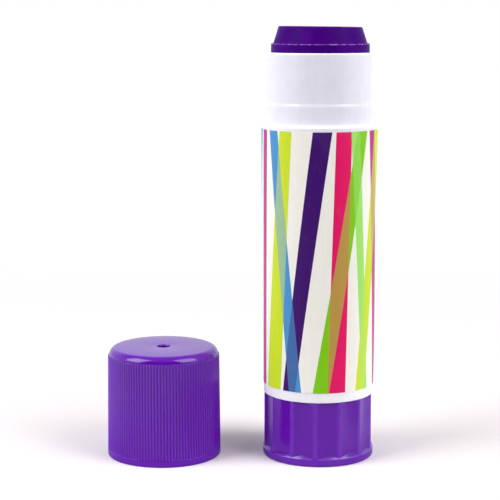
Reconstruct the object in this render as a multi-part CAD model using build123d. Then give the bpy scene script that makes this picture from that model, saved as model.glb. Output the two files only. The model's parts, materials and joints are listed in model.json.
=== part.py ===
from build123d import *

import math
import os

# Glue stick stood open on its turning knob, with the cap stood beside it on its mouth.
# Millimetres, +Z up. The origin is the centre of the knob's bottom face, on the surface it stands on.

# Overrun of every cutter past the face that it cuts
overrun = 1.0

# Turning knob: a fluted cup, closed below, with a hub inside for the spindle
knob_height = 16.0
knob_foot_height = 1.9
knob_foot_step = 0.17
knob_foot_rounding = 0.55
knob_setback = 0.03
knob_floor = 1.6
knob_recess_depth = 0.6
knob_recess_border = 3.6
knob_top_chamfer = 0.15
flute_count = 14
flute_hollow = 0.3
flute_ridge_width = 0.25
flute_turn = -95.3
hub_wall = 2.3
gate_mark_radius = 1.7
gate_mark_depth = 1.0

# Barrel: one moulding with the labelled tube, the neck above it and the spigot below it
bore_radius = 12.25
neck_wall = 0.63
neck_length = 17.4
neck_rim_rounding = 0.25
neck_foot_step = 0.12
neck_foot_length = 4.7
neck_foot_taper = 0.6
shoulder_width = 1.4
shoulder_rounding = 0.45
barrel_length = 67.75
barrel_bottom_wall = 1.55
barrel_bottom_rounding = 0.2
barrel_floor = 1.6
spigot_inset = 0.35
spigot_wall = 1.1
spigot_end_gap = 2.4
guide_rib_count = 4
guide_rib_depth = 0.5
guide_rib_width = 1.2
guide_rib_stop = 10.0

# Label: a paper wrap round the barrel, with its butt joint at the back
label_thickness = 0.1
label_bottom_margin = 2.52
label_top_margin = 1.3
label_joint_gap = 0.6

# Spindle: a hexagonal shank in the knob's hub, a thrust collar and a coarse left-hand screw
shank_across_flats = 4.6
shank_end_gap = 0.6
journal_radius = 3.1
collar_radius = 4.6
collar_thickness = 1.2
screw_core_radius = 2.4
screw_crest_radius = 3.2
screw_lead = 5.0
screw_root_width = 1.9
screw_crest_width = 1.1
screw_sink = 0.3
screw_runout = 1.0
screw_tip_chamfer = 0.6
screw_tip_below_rim = 3.8

# Carrier: the cup with a nut in its middle that pushes the glue up the barrel
carrier_height = 9.5
carrier_floor = 1.2
carrier_wall = 1.1
nut_wall = 1.8
web_count = 4
web_thickness = 0.9
web_height = 4.0
carrier_parking_gap = 0.15
carrier_lift = 2.16

# Glue: a mass cast on the carrier, with a moulded tip
tip_height = 4.24
tip_ledge = 0.57
tip_slope = 1.3
tip_rounding = 0.35
ledge_rounding = 0.2
glue_hole_end_gap = 0.5

# Cap: a ribbed thimble that slips over the neck down to the shoulder
cap_height = 27.5
cap_wall = 1.24
cap_draft = 0.28
cap_top_thickness = 1.8
cap_top_rounding = 2.0
cap_bore_rounding = 0.8
cap_mouth_chamfer = 0.3
cap_seat_width = 0.68
cap_seat_gap = 0.1
cap_rib_count = 116
cap_rib_gap = 0.42
cap_rib_depth = 0.18
cap_rim_band = 1.7
cap_distance = 39.1

# Running fits and clearances, each one on the radius or on one side
seam_gap = 0.15
knob_clearance = 0.08
journal_clearance = 0.06
thrust_clearance = 0.1
piston_clearance = 0.1
glue_clearance = 0.08
guide_clearance = 0.12
screw_clearance = 0.18
glue_hole_clearance = 0.4
cap_clearance = 0.08

# Heights worked out from the sizes above
barrel_bottom = knob_height + seam_gap
barrel_floor_top = barrel_bottom + barrel_floor
shoulder = barrel_bottom + barrel_length
neck_foot_top = shoulder + neck_foot_length
neck_top = shoulder + neck_length
knob_floor_top = knob_recess_depth + knob_floor
spigot_bottom = knob_floor_top + spigot_end_gap
hub_top = barrel_bottom - thrust_clearance
collar_bottom = barrel_floor_top + thrust_clearance
collar_top = collar_bottom + collar_thickness
screw_tip = neck_top - screw_tip_below_rim
screw_start = collar_top + screw_runout
screw_end = screw_tip - screw_runout
guide_rib_top = neck_top - guide_rib_stop
carrier_bottom = collar_top + carrier_parking_gap + carrier_lift
carrier_floor_top = carrier_bottom + carrier_floor
carrier_top = carrier_bottom + carrier_height
glue_ledge = neck_top + carrier_lift
glue_top = glue_ledge + tip_height

# Radii worked out from the sizes above
neck_radius = bore_radius + neck_wall
neck_foot_radius = neck_radius + neck_foot_step
barrel_top_radius = neck_foot_radius + shoulder_width
barrel_bottom_radius = bore_radius + barrel_bottom_wall
spigot_radius = bore_radius - spigot_inset
knob_bore = spigot_radius + knob_clearance
knob_ridge_radius = barrel_bottom_radius - knob_setback
knob_foot_radius = knob_ridge_radius + knob_foot_step
hub_radius = journal_radius + hub_wall
carrier_radius = bore_radius - piston_clearance
carrier_cup_radius = carrier_radius - carrier_wall
nut_bore = screw_core_radius + screw_clearance
nut_radius = screw_crest_radius + screw_clearance + nut_wall
glue_radius = bore_radius - glue_clearance
glue_hole_radius = screw_crest_radius + glue_hole_clearance
tip_bottom_radius = glue_radius - tip_ledge
tip_top_radius = tip_bottom_radius - tip_slope
cap_bore = neck_foot_radius + cap_clearance
cap_mouth_radius = cap_bore + cap_wall
cap_top_radius = cap_mouth_radius - cap_draft
cap_seat_radius = cap_bore - cap_seat_width
cap_seat_depth = neck_length + cap_seat_gap


def turned(*corners):
    """Solid of revolution about Z. Each corner of its closed profile is (radius, height, rounding)."""
    points = [(radius, height) for radius, height, rounding in corners]
    roundings = [rounding for radius, height, rounding in corners]
    outline = FilletPolyline(*points, radius=roundings, close=True)
    return revolve(make_face(Plane.XZ * outline), Axis.Z)


def pillar(radius, bottom, top):
    """Round bar about Z between two heights."""
    bar = Cylinder(radius, top - bottom, align=(Align.CENTER, Align.CENTER, Align.MIN))
    return Pos(0, 0, bottom) * bar


def hexagon_bar(across_flats, bottom, top):
    """Hexagonal bar about Z between two heights."""
    section = RegularPolygon(across_flats / 2, side_count=6, major_radius=False)
    return Pos(0, 0, bottom) * extrude(section, top - bottom)


def radial_bars(count, inner, outer, width, bottom, top):
    """Evenly spaced bars that reach from one radius to another, each of one width and between two heights."""
    size = (outer - inner, width, top - bottom)
    bar = Pos(inner, 0, bottom) * Box(*size, align=(Align.MIN, Align.CENTER, Align.MIN))
    return [place * bar for place in PolarLocations(0, count)]


def screw_ridge(bottom, top, core, crest, root_width, crest_width):
    """Left-hand helical ridge. Its angle depends on the height alone, so a screw and its nut are in mesh."""
    path = Helix(screw_lead, top - bottom, core, center=(0, 0, bottom), lefthand=True)
    outline = Polyline(
        (core - screw_sink, bottom - root_width / 2),
        (crest, bottom - crest_width / 2),
        (crest, bottom + crest_width / 2),
        (core - screw_sink, bottom + root_width / 2),
        close=True,
    )
    ridge = sweep(make_face(Plane.XZ * outline), path=path, is_frenet=True)
    return Rot(0, 0, -360 * bottom / screw_lead) * ridge


def barrel_radius_at(height):
    """Outer radius of the barrel's tapered tube."""
    share = (height - barrel_bottom) / barrel_length
    return barrel_bottom_radius + share * (barrel_top_radius - barrel_bottom_radius)


def fluted_column():
    """The knob's grip: a round bar hollowed by flutes, with a narrow ridge left between each two."""
    half_turn = math.pi / flute_count - flute_ridge_width / 2 / knob_ridge_radius
    half_chord = knob_ridge_radius * math.sin(half_turn)
    chord_radius = knob_ridge_radius * math.cos(half_turn)
    cut_radius = (half_chord**2 + flute_hollow**2) / (2 * flute_hollow)
    cut_centre = chord_radius - flute_hollow + cut_radius
    section = Circle(knob_ridge_radius) - PolarLocations(cut_centre, flute_count) * Circle(cut_radius)
    column = extrude(section, knob_height - knob_foot_height)
    ridge_turn = flute_turn + 180 / flute_count
    return Pos(0, 0, knob_foot_height) * Rot(0, 0, ridge_turn) * column, chord_radius - flute_hollow


def turning_knob():
    """Fluted cup. Its foot has a sloping top, which the flutes run out on, and its hub holds the shank."""
    column, flute_floor = fluted_column()
    slope_run = knob_foot_radius - flute_floor + overrun / 2
    foot = turned(
        (0, 0, 0),
        (knob_foot_radius, 0, knob_foot_rounding),
        (knob_foot_radius, knob_foot_height, 0),
        (knob_foot_radius - slope_run, knob_foot_height + slope_run, 0),
        (0, knob_foot_height + slope_run, 0),
    )
    top_edge = turned(
        (knob_ridge_radius - knob_top_chamfer, knob_height, 0),
        (knob_ridge_radius + overrun, knob_height - knob_top_chamfer - overrun, 0),
        (knob_ridge_radius + overrun, knob_height, 0),
    )
    cavity = turned(
        (0, knob_floor_top, 0),
        (knob_bore, knob_floor_top, 0),
        (knob_bore, knob_height + overrun, 0),
        (0, knob_height + overrun, 0),
    )
    recess_radius = knob_foot_radius - knob_recess_border
    recess = pillar(recess_radius, -overrun, knob_recess_depth)
    socket_bottom = knob_floor_top
    socket = hexagon_bar(shank_across_flats, socket_bottom, hub_top + overrun)
    hub = pillar(hub_radius, knob_recess_depth + knob_floor / 2, hub_top) - socket
    shell = column + foot - top_edge - cavity - recess
    return shell + hub


def barrel():
    """Tapered tube with a floor, a straight neck above its shoulder and a spigot that the knob turns on."""
    spigot_inner = spigot_radius - spigot_wall
    hole = journal_radius + journal_clearance
    body = turned(
        (hole, barrel_bottom, 0),
        (spigot_inner, barrel_bottom, 0),
        (spigot_inner, spigot_bottom, 0),
        (spigot_radius, spigot_bottom, barrel_bottom_rounding),
        (spigot_radius, barrel_bottom, 0),
        (barrel_bottom_radius, barrel_bottom, barrel_bottom_rounding),
        (barrel_top_radius, shoulder, shoulder_rounding),
        (neck_foot_radius, shoulder, 0),
        (neck_foot_radius, neck_foot_top, 0),
        (neck_radius, neck_foot_top + neck_foot_taper, 0),
        (neck_radius, neck_top, neck_rim_rounding),
        (bore_radius, neck_top, neck_rim_rounding),
        (bore_radius, barrel_floor_top, 0),
        (hole, barrel_floor_top, 0),
    )
    rib_outer = bore_radius + neck_wall / 2
    rib_inner = bore_radius - guide_rib_depth
    rib_bottom = barrel_floor_top - barrel_floor / 2
    ribs = radial_bars(guide_rib_count, rib_inner, rib_outer, guide_rib_width, rib_bottom, guide_rib_top)
    return body + ribs


def label():
    """Paper wrap on the barrel's tapered tube, open by a narrow joint at the back."""
    bottom = barrel_bottom + label_bottom_margin
    top = shoulder - label_top_margin
    wrap = turned(
        (barrel_radius_at(bottom), bottom, 0),
        (barrel_radius_at(bottom) + label_thickness, bottom, 0),
        (barrel_radius_at(top) + label_thickness, top, 0),
        (barrel_radius_at(top), top, 0),
    )
    reach = barrel_top_radius + label_thickness + overrun
    joint = Pos(0, reach / 2, bottom - overrun) * Box(
        label_joint_gap, reach, top - bottom + 2 * overrun, align=(Align.CENTER, Align.CENTER, Align.MIN)
    )
    return wrap - joint


def spindle():
    """Lead screw that turns with the knob. Its collar rests on the barrel's floor."""
    shank = hexagon_bar(shank_across_flats, knob_floor_top + shank_end_gap, hub_top)
    journal = pillar(journal_radius, hub_top, collar_bottom)
    collar = pillar(collar_radius, collar_bottom, collar_top)
    core = turned(
        (0, collar_top, 0),
        (screw_core_radius, collar_top, 0),
        (screw_core_radius, screw_tip - screw_tip_chamfer, 0),
        (screw_core_radius - screw_tip_chamfer, screw_tip, 0),
        (0, screw_tip, 0),
    )
    ridge = screw_ridge(
        screw_start + screw_root_width / 2,
        screw_end - screw_root_width / 2,
        screw_core_radius,
        screw_crest_radius,
        screw_root_width,
        screw_crest_width,
    )
    return shank + journal + collar + (core + ridge)


def carrier_blank():
    """The carrier before its screw thread and its guide notches are cut."""
    cup = turned(
        (0, carrier_bottom, 0),
        (carrier_radius, carrier_bottom, 0),
        (carrier_radius, carrier_top, 0),
        (carrier_cup_radius, carrier_top, 0),
        (carrier_cup_radius, carrier_floor_top, 0),
        (nut_radius, carrier_floor_top, 0),
        (nut_radius, carrier_top, 0),
        (0, carrier_top, 0),
    )
    web_inner = nut_radius - nut_wall / 2
    web_outer = carrier_cup_radius + carrier_wall / 2
    web_top = carrier_floor_top + web_height
    webs = radial_bars(web_count, web_inner, web_outer, web_thickness, carrier_bottom, web_top)
    return cup + [Rot(0, 0, 180 / web_count) * web for web in webs]


def guide_notches(bottom, top):
    """Cutters that clear the barrel's guide ribs between two heights."""
    inner = bore_radius - guide_rib_depth - guide_clearance
    width = guide_rib_width + 2 * guide_clearance
    return radial_bars(guide_rib_count, inner, bore_radius + overrun, width, bottom, top)


def carrier():
    """Cup with a threaded nut in its middle, notched for the guide ribs that keep it from turning."""
    bore = pillar(nut_bore, carrier_bottom - overrun, carrier_top + overrun)
    thread = screw_ridge(
        carrier_bottom - screw_root_width,
        carrier_top + screw_root_width,
        nut_bore,
        screw_crest_radius + screw_clearance,
        screw_root_width + 2 * screw_clearance,
        screw_crest_width + 2 * screw_clearance,
    )
    notches = guide_notches(carrier_bottom - overrun, carrier_top + overrun)
    return carrier_blank() - bore - thread - notches


def glue():
    """Cast mass that fills the carrier's cup and the bore, and ends in a moulded tip above the neck."""
    mass = turned(
        (0, carrier_floor_top, 0),
        (carrier_cup_radius, carrier_floor_top, 0),
        (carrier_cup_radius, carrier_top, 0),
        (glue_radius, carrier_top, 0),
        (glue_radius, glue_ledge, ledge_rounding),
        (tip_bottom_radius, glue_ledge, ledge_rounding),
        (tip_top_radius, glue_top, tip_rounding),
        (0, glue_top, 0),
    )
    hole_top = screw_tip + carrier_lift + glue_hole_end_gap
    hole = pillar(glue_hole_radius, carrier_bottom, hole_top)
    grooves = guide_notches(carrier_top - overrun, guide_rib_top + carrier_lift + guide_clearance)
    return mass - carrier_blank() - hole - grooves


def cap_grooves():
    """Cutters for the fine grooves between the cap's ribs, leaned inwards with the draft of its wall."""
    draft_angle = math.degrees(math.atan2(cap_draft, cap_height))
    start_radius = cap_mouth_radius - cap_draft * cap_rim_band / cap_height
    outline = Polyline(
        (-cap_rib_depth, 0),
        (cap_rib_depth, -cap_rib_gap),
        (cap_rib_depth, cap_rib_gap),
        close=True,
    )
    groove = Rot(0, -draft_angle, 0) * extrude(make_face(outline), cap_height)
    groove = Pos(start_radius, 0, cap_rim_band) * groove
    return [place * groove for place in PolarLocations(0, cap_rib_count)]


def cap():
    """Ribbed thimble on its mouth. A step in its bore seats on the neck's rim when it is on."""
    inside_top = cap_height - cap_top_thickness
    body = turned(
        (0, cap_height - gate_mark_depth, 0),
        (gate_mark_radius, cap_height - gate_mark_depth, 0),
        (gate_mark_radius, cap_height, 0),
        (cap_top_radius, cap_height, cap_top_rounding),
        (cap_mouth_radius, 0, cap_mouth_chamfer),
        (cap_bore + cap_mouth_chamfer, 0, 0),
        (cap_bore, cap_mouth_chamfer, 0),
        (cap_bore, cap_seat_depth, 0),
        (cap_seat_radius, cap_seat_depth, 0),
        (cap_seat_radius, inside_top, cap_bore_rounding),
        (0, inside_top, 0),
    )
    return Pos(-cap_distance, 0, 0) * (body - cap_grooves())


makers = {
    "turning_knob": turning_knob,
    "barrel": barrel,
    "label": label,
    "spindle": spindle,
    "carrier": carrier,
    "glue": glue,
    "cap": cap,
}

os.makedirs("parts", exist_ok=True)
for name, make in makers.items():
    export_step(make(), f"parts/{name}.step")

travel_up = screw_tip - screw_tip_chamfer - carrier_top
print(f"carrier travel {-carrier_lift:.3f} to {travel_up:.3f} mm, {travel_up / screw_lead:.2f} turns")
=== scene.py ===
import json
import math

import bpy
import numpy as np
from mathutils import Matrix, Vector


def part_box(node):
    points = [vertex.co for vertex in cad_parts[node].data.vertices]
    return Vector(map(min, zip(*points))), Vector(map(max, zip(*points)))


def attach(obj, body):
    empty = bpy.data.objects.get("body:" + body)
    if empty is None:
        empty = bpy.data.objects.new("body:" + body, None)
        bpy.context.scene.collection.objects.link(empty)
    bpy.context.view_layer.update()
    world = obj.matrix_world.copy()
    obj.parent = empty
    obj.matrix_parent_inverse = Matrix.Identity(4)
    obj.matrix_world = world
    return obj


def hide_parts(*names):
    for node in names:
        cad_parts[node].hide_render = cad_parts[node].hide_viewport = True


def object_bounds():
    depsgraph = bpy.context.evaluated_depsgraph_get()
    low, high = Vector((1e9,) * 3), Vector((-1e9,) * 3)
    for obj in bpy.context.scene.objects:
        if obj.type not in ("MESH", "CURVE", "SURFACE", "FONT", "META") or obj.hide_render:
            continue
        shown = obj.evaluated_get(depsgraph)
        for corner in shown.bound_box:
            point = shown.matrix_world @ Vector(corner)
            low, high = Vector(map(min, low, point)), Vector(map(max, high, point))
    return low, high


# Looks of a glue stick that stands open on its turning knob, with its ribbed cap beside it.
# Metres, +Z up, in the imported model's own frame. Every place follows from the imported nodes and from
# the sizes in the property groups below.

bl_info = {
    "name": "Glue Stick",
    "version": (1, 0, 0),
    "blender": (4, 5, 0),
    "location": "View3D > Sidebar > Glue Stick",
    "description": "Makes the smooth pieces, the finishes and the studio of a twist-up glue stick",
    "category": "Object",
}

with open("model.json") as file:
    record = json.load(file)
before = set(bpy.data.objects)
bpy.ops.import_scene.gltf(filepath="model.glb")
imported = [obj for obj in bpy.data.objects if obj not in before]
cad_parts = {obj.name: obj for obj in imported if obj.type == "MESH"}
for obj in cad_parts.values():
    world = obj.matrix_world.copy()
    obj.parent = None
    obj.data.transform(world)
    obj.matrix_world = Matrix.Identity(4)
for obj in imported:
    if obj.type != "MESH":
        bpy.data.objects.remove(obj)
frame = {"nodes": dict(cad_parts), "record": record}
cad_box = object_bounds()
mounts = {mount["name"]: mount for mount in frame["record"]["mounts"]}

full_turn = 2 * math.pi
millimetre = 0.001
# Points that lie nearer to each other than this are one point
touching = 1e-9
# Faces that meet at a larger angle than this keep a sharp edge between them
sharp_angle = math.radians(40)


# Properties


def length(name, value, description):
    """A size in metres that the sidebar shows in the scene's units."""
    return bpy.props.FloatProperty(
        name=name, description=description, default=value, subtype="DISTANCE", unit="LENGTH", precision=5
    )


def place(name, value, description):
    """A point in metres, or a direction."""
    return bpy.props.FloatVectorProperty(
        name=name, description=description, default=value, subtype="XYZ", unit="LENGTH", precision=4
    )


def colour(name, value, description):
    """A colour, as linear red, green and blue."""
    return bpy.props.FloatVectorProperty(
        name=name, description=description, default=value, subtype="COLOR", min=0, max=1
    )


def share(name, value, description):
    """A plain number, such as a roughness or a strength."""
    return bpy.props.FloatProperty(name=name, description=description, default=value, precision=3)


def angle(name, degrees, description):
    """An angle, given here in degrees."""
    return bpy.props.FloatProperty(
        name=name, description=description, default=math.radians(degrees), subtype="ANGLE"
    )


def count(name, value, description):
    """A whole number of equal things."""
    return bpy.props.IntProperty(name=name, description=description, default=value, min=1)


class CapSettings(bpy.types.PropertyGroup):
    """Ribbed thimble that stands on its mouth."""

    rib_count: count("Ribs", 116, "Ribs round the wall")
    rib_depth: length("Rib depth", 0.00018, "Depth of the grooves between the ribs")
    rim_band: length("Rim band", 0.0017, "Height of the plain band at the mouth")
    rib_end: length("Rib end", 0.0003, "Height over which a groove fades out above the band")
    draft: length("Draft", 0.00028, "How much narrower the wall is at the top than at the mouth")
    top_rounding: length("Top rounding", 0.00178, "Radius of the rounded top edge")
    top_inset: length("Top inset", 0.0003, "How far the rounded top stands back from the ribs")
    rib_drop: length("Rib drop", 0.00185, "Distance from the top down to the ribs' upper ends")
    rib_rounding: length("Rib rounding", 0.00022, "Radius of the ribs' upper ends")
    top_thickness: length("Top thickness", 0.0018, "Thickness of the flat top")
    mouth_rounding: length("Mouth rounding", 0.0003, "Radius of the mouth's edges")
    gate_radius: length("Gate radius", 0.0016, "Radius of the moulding mark in the middle of the top")
    gate_depth: length("Gate depth", 0.001, "Depth of the moulding mark")
    gate_rounding: length("Gate rounding", 0.0003, "Radius of the moulding mark's edges")
    gate_nub: length("Gate nub", 0.0005, "Radius and height of the broken-off sprue in the moulding mark")
    seat_depth: length("Seat depth", 0.0175, "Depth of the step that rests on the neck's rim")
    seat_width: length("Seat width", 0.00068, "Width of that step")
    inner_rounding: length("Inner rounding", 0.0008, "Radius of the inner corner under the top")


class KnobSettings(bpy.types.PropertyGroup):
    """Fluted cup that turns the spindle."""

    flute_count: count("Flutes", 14, "Flutes round the grip")
    flute_hollow: length("Flute hollow", 0.0003, "Depth of a flute under its chord")
    flute_turn: angle("Flute turn", -95.3, "Direction of one ridge")
    ridge_width: length("Ridge width", 0.00055, "Width of the ridge between two flutes")
    ridge_softness: length("Ridge softness", 0.0002, "How far the ridges' edges are rounded")
    foot_height: length("Foot height", 0.0019, "Height of the plain foot below its sloping top")
    foot_step: length("Foot step", 0.00017, "How far the foot stands out past the ridges")
    foot_rounding: length("Foot rounding", 0.00055, "Radius of the foot's bottom edge")
    crease_rounding: share("Crease rounding", 0.14, "Cove above the foot, as a share of the foot's step")
    edge_rounding: length("Edge rounding", 0.00012, "Size of the rounding at the foot's top edge")
    top_rounding: length("Top rounding", 0.00015, "Radius of the top edge")
    recess_border: length("Recess border", 0.0036, "Width of the ring that the stick stands on")
    recess_depth: length("Recess depth", 0.0006, "Depth of the recess inside that ring")
    floor: length("Floor", 0.0016, "Thickness of the closed bottom")
    spigot_clearance: length("Spigot clearance", 0.00008, "Gap between the knob and the spigot in it")
    hub_wall: length("Hub wall", 0.0023, "Wall of the hub outside the spindle's journal")
    socket_across: length("Socket", 0.0046, "Distance across the flats of the spindle's socket")


class BarrelSettings(bpy.types.PropertyGroup):
    """White tube with its neck and its spigot."""

    bottom: length("Bottom", 0.01615, "Height of the lower end of the outer tube")
    bottom_radius: length("Bottom radius", 0.0138, "Outer radius at the lower end")
    bottom_rounding: length("Bottom rounding", 0.0002, "Radius of the lower edges")
    shoulder: length("Shoulder", 0.0839, "Height of the shoulder below the neck")
    shoulder_rounding: length("Shoulder rounding", 0.00045, "Radius of the shoulder's edge")
    neck_foot_radius: length("Neck foot radius", 0.013, "Radius of the neck where it grips the cap")
    neck_foot_length: length("Neck foot length", 0.0047, "Height of that wider foot")
    neck_taper: length("Neck taper", 0.0006, "Height of the slope above the foot")
    neck_softness: length("Neck softness", 0.00025, "Radius of the soft edges of that slope")
    rim_rounding: length("Rim rounding", 0.00025, "Radius of the neck's rim")
    bore_radius: length("Bore radius", 0.01225, "Radius of the bore that the glue slides in")
    floor: length("Floor", 0.0016, "Thickness of the floor above the knob")
    hole_radius: length("Hole radius", 0.00316, "Radius of the spindle's hole in the floor")
    spigot_radius: length("Spigot radius", 0.0119, "Outer radius of the spigot that the knob turns on")
    spigot_wall: length("Spigot wall", 0.0011, "Wall of the spigot")
    rib_count: count("Guide ribs", 4, "Low ribs in the bore that keep the carrier from turning")
    rib_depth: length("Guide rib depth", 0.0005, "How far a guide rib stands out")
    rib_width: length("Guide rib width", 0.0012, "Width of a guide rib")
    rib_stop: length("Guide rib stop", 0.01, "Distance from the rim to the top of the guide ribs")


class LabelSettings(bpy.types.PropertyGroup):
    """Printed wrap round the barrel."""

    thickness: length("Thickness", 0.0001, "Thickness of the wrap")
    joint_gap: length("Joint gap", 0.0006, "Gap between the wrap's two ends at the back")
    print_softness: length("Print softness", 0.00006, "Width over which a stripe's edge fades")
    overprint: share("Overprint", 0.5, "How much of a stripe shows through the stripe above it")
    ground: colour("Ground", (0.85, 0.835, 0.77), "Unprinted wrap")
    pink: colour("Pink", (0.74, 0.003, 0.117), "Ink of the pink stripes")
    green: colour("Green", (0.2, 0.55, 0.003), "Ink of the green stripes")
    violet: colour("Violet", (0.042, 0.001, 0.135), "Ink of the violet stripes")
    magenta: colour("Magenta", (0.44, 0.015, 0.22), "Ink of the magenta stripes")
    lime: colour("Lime", (0.56, 0.7, 0.02), "Ink of the lime stripes")
    blue: colour("Blue", (0.062, 0.27, 0.58), "Ink of the blue stripes")
    mint: colour("Mint", (0.33, 0.73, 0.14), "Ink of the pale green stripes")


class GlueSettings(bpy.types.PropertyGroup):
    """Cast glue with its moulded tip."""

    tip_height: length("Tip height", 0.00424, "Height of the cone above the ledge")
    ledge: length("Ledge", 0.00057, "Width of the ledge round the cone")
    slope: length("Slope", 0.0013, "How much narrower the cone is at its top")
    tip_rounding: length("Tip rounding", 0.00035, "Radius of the cone's top edge")
    ledge_rounding: length("Ledge rounding", 0.0002, "Radius of the ledge's edges")
    unevenness: length("Unevenness", 0.00007, "How far the cast surface wanders inwards")
    lean: length("Lean", 0.0003, "How much lower the tip is on its right than on its left")
    chip_depth: length("Chip depth", 0.00022, "Depth of the largest chips in the ledge's edge")
    hole_radius: length("Hole radius", 0.0036, "Radius of the blind hole round the spindle")
    hole_end: length("Hole end", 0.0075, "Distance from the tip to the end of that hole")
    nut_radius: length("Nut radius", 0.00518, "Radius of the carrier's nut, which the glue goes round")
    cup_floor: length("Cup floor", 0.0012, "Thickness of the carrier's floor")
    cup_wall: length("Cup wall", 0.0011, "Wall of the carrier's cup")
    groove_width: length("Groove width", 0.00144, "Width of the grooves left by the guide ribs")
    groove_depth: length("Groove depth", 0.00062, "Depth of those grooves below the bore")
    groove_stop: length("Groove stop", 0.01412, "Distance from the tip to the top of those grooves")


class FinishSettings(bpy.types.PropertyGroup):
    """Colours and gloss of the plastics and of the glue."""

    cap_colour: colour("Cap", (0.104, 0.002, 0.355), "Violet of the cap")
    # Painted highlight colour for the crests of the cap's ribs and for its top
    cap_crest: colour("Cap's ribs", (0.152, 0.007, 0.49), "Violet of the crests of the cap's ribs")
    knob_colour: colour("Knob", (0.113, 0.004, 0.362), "Violet of the turning knob")
    # Painted highlight colour for the knob's ridges and its foot's edge
    knob_crest: colour("Knob's edges", (0.19, 0.05, 0.5), "Violet of the knob's ridges and its foot's edge")
    white_colour: colour("White", (0.745, 0.74, 0.835), "White of the barrel")
    inner_colour: colour("Inner parts", (0.76, 0.76, 0.78), "Plain white of the spindle and the carrier")
    glue_colour: colour("Glue", (0.045, 0.0003, 0.155), "Violet of the glue")
    violet_roughness: share("Violet roughness", 0.1, "Roughness of the violet plastic")
    white_roughness: share("White roughness", 0.22, "Roughness of the white plastic")
    inner_roughness: share("Inner roughness", 0.45, "Roughness of the inner parts")
    label_roughness: share("Label roughness", 0.35, "Roughness of the printed wrap")
    glue_roughness: share("Glue roughness", 0.4, "Roughness of the glue")


class StageSettings(bpy.types.PropertyGroup):
    """Camera, lamps, floor and surroundings."""

    camera_place: place("Camera place", (-0.0178, -0.3726, 0.1104), "Where the camera stands")
    camera_dip: angle("Camera dip", 7.95, "Angle that the camera looks down")
    camera_yaw: angle("Camera yaw", 0.08, "Angle that the camera looks to the right")
    camera_lens: bpy.props.FloatProperty(
        name="Lens", description="Focal length in millimetres", default=108.4, subtype="DISTANCE_CAMERA"
    )
    camera_shift: share("Shift", -0.05, "Upward shift of the picture, as a share of its width")
    left_lamp_way: place("Left lamp", (-0.74, -0.33, 0.6), "Direction of the left soft box")
    left_lamp_power: share("Left power", 7.75, "Watts of the left soft box")
    right_lamp_way: place("Right lamp", (0.68, -0.42, 0.6), "Direction of the right soft box")
    right_lamp_power: share("Right power", 6.5, "Watts of the right soft box")
    lamp_distance: length("Lamp distance", 0.9, "Distance of the soft boxes from the object")
    lamp_width: length("Lamp width", 0.6, "Width of a soft box")
    lamp_height: length("Lamp height", 0.8, "Height of a soft box")
    front_light: share("Front light", 0.0, "Strength of the surroundings in front of the object")
    left_light: share("Left light", 0.85, "Strength of the surroundings on its left")
    right_light: share("Right light", 1.1, "Strength of the surroundings on its right")
    back_light: share("Back light", 0.89, "Strength of the surroundings behind it")
    top_light: share("Top light", 0.42, "Strength of the surroundings above it")
    floor_size: length("Floor size", 6.0, "Width of the floor, and its reach behind the object")
    floor_front: length("Floor front", 0.6, "Reach of the floor in front of the object")
    floor_colour: colour("Floor", (0.855, 0.81, 0.83), "Colour of the floor")
    table_edge: length("Table edge", 0.045, "Distance in front where the floor is grey to all but the camera")
    table_colour: colour("Table", (0.37, 0.36, 0.37), "That grey, which the gloss shows on all but the right")
    floor_near: length("Floor near", 0.11, "Distance from the object up to which the floor shows shadows")
    floor_far: length("Floor far", 0.3, "Distance from which the floor is plain white")


class GlueStickSettings(bpy.types.PropertyGroup):
    """All settings of the glue stick."""

    cap: bpy.props.PointerProperty(type=CapSettings)
    knob: bpy.props.PointerProperty(type=KnobSettings)
    barrel: bpy.props.PointerProperty(type=BarrelSettings)
    label: bpy.props.PointerProperty(type=LabelSettings)
    glue: bpy.props.PointerProperty(type=GlueSettings)
    finish: bpy.props.PointerProperty(type=FinishSettings)
    stage: bpy.props.PointerProperty(type=StageSettings)


# Shapes


def round_box(node):
    """Centre, outer radius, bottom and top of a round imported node."""
    low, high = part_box(node)
    middle = (low + high) / 2
    return (middle.x, middle.y), (high.x - low.x) / 2, low.z, high.z


def smooth_step(value, low, high):
    """0 below low and 1 above high, with the curve 3t^2 - 2t^3 between them."""
    ramp = np.clip((value - low) / (high - low), 0, 1)
    return ramp * ramp * (3 - 2 * ramp)


def soft_least(first, second, softness):
    """The smaller of two values. Where they are nearly equal, it dips below both by up to softness / 4."""
    closeness = np.clip(1 - np.abs(first - second) / softness, 0, 1)
    return np.minimum(first, second) - softness * closeness * closeness / 4


def rounded_outline(corners, steps=7):
    """Outline of a turned piece, as rows of radius and height.

    Each corner is (radius, height, rounding). A rounding replaces its corner by an arc that touches both
    edges. The arc's centre lies on the line that halves the corner's angle, at the rounding divided by
    the sine of half that angle.
    """
    places = np.array([corner[:2] for corner in corners], float)
    rows = []
    for number, (corner, after) in enumerate(zip(places, np.roll(places, -1, axis=0))):
        rounding = corners[number][2]
        if not rounding:
            rows.append(corner[None])
            continue
        back = places[number - 1] - corner
        back = back / np.linalg.norm(back)
        ahead = after - corner
        ahead = ahead / np.linalg.norm(ahead)
        half = np.arccos(np.clip(back @ ahead, -1, 1)) / 2
        middle = (back + ahead) / np.linalg.norm(back + ahead)
        centre = corner + middle * rounding / np.sin(half)
        start = corner + back * rounding / np.tan(half) - centre
        end = corner + ahead * rounding / np.tan(half) - centre
        first = np.arctan2(start[1], start[0])
        sweep = (np.arctan2(end[1], end[0]) - first + np.pi) % full_turn - np.pi
        angles = first + sweep * np.linspace(0, 1, steps + 1)
        rows.append(centre + rounding * np.stack([np.cos(angles), np.sin(angles)], axis=1))
    return np.concatenate(rows)


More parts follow.
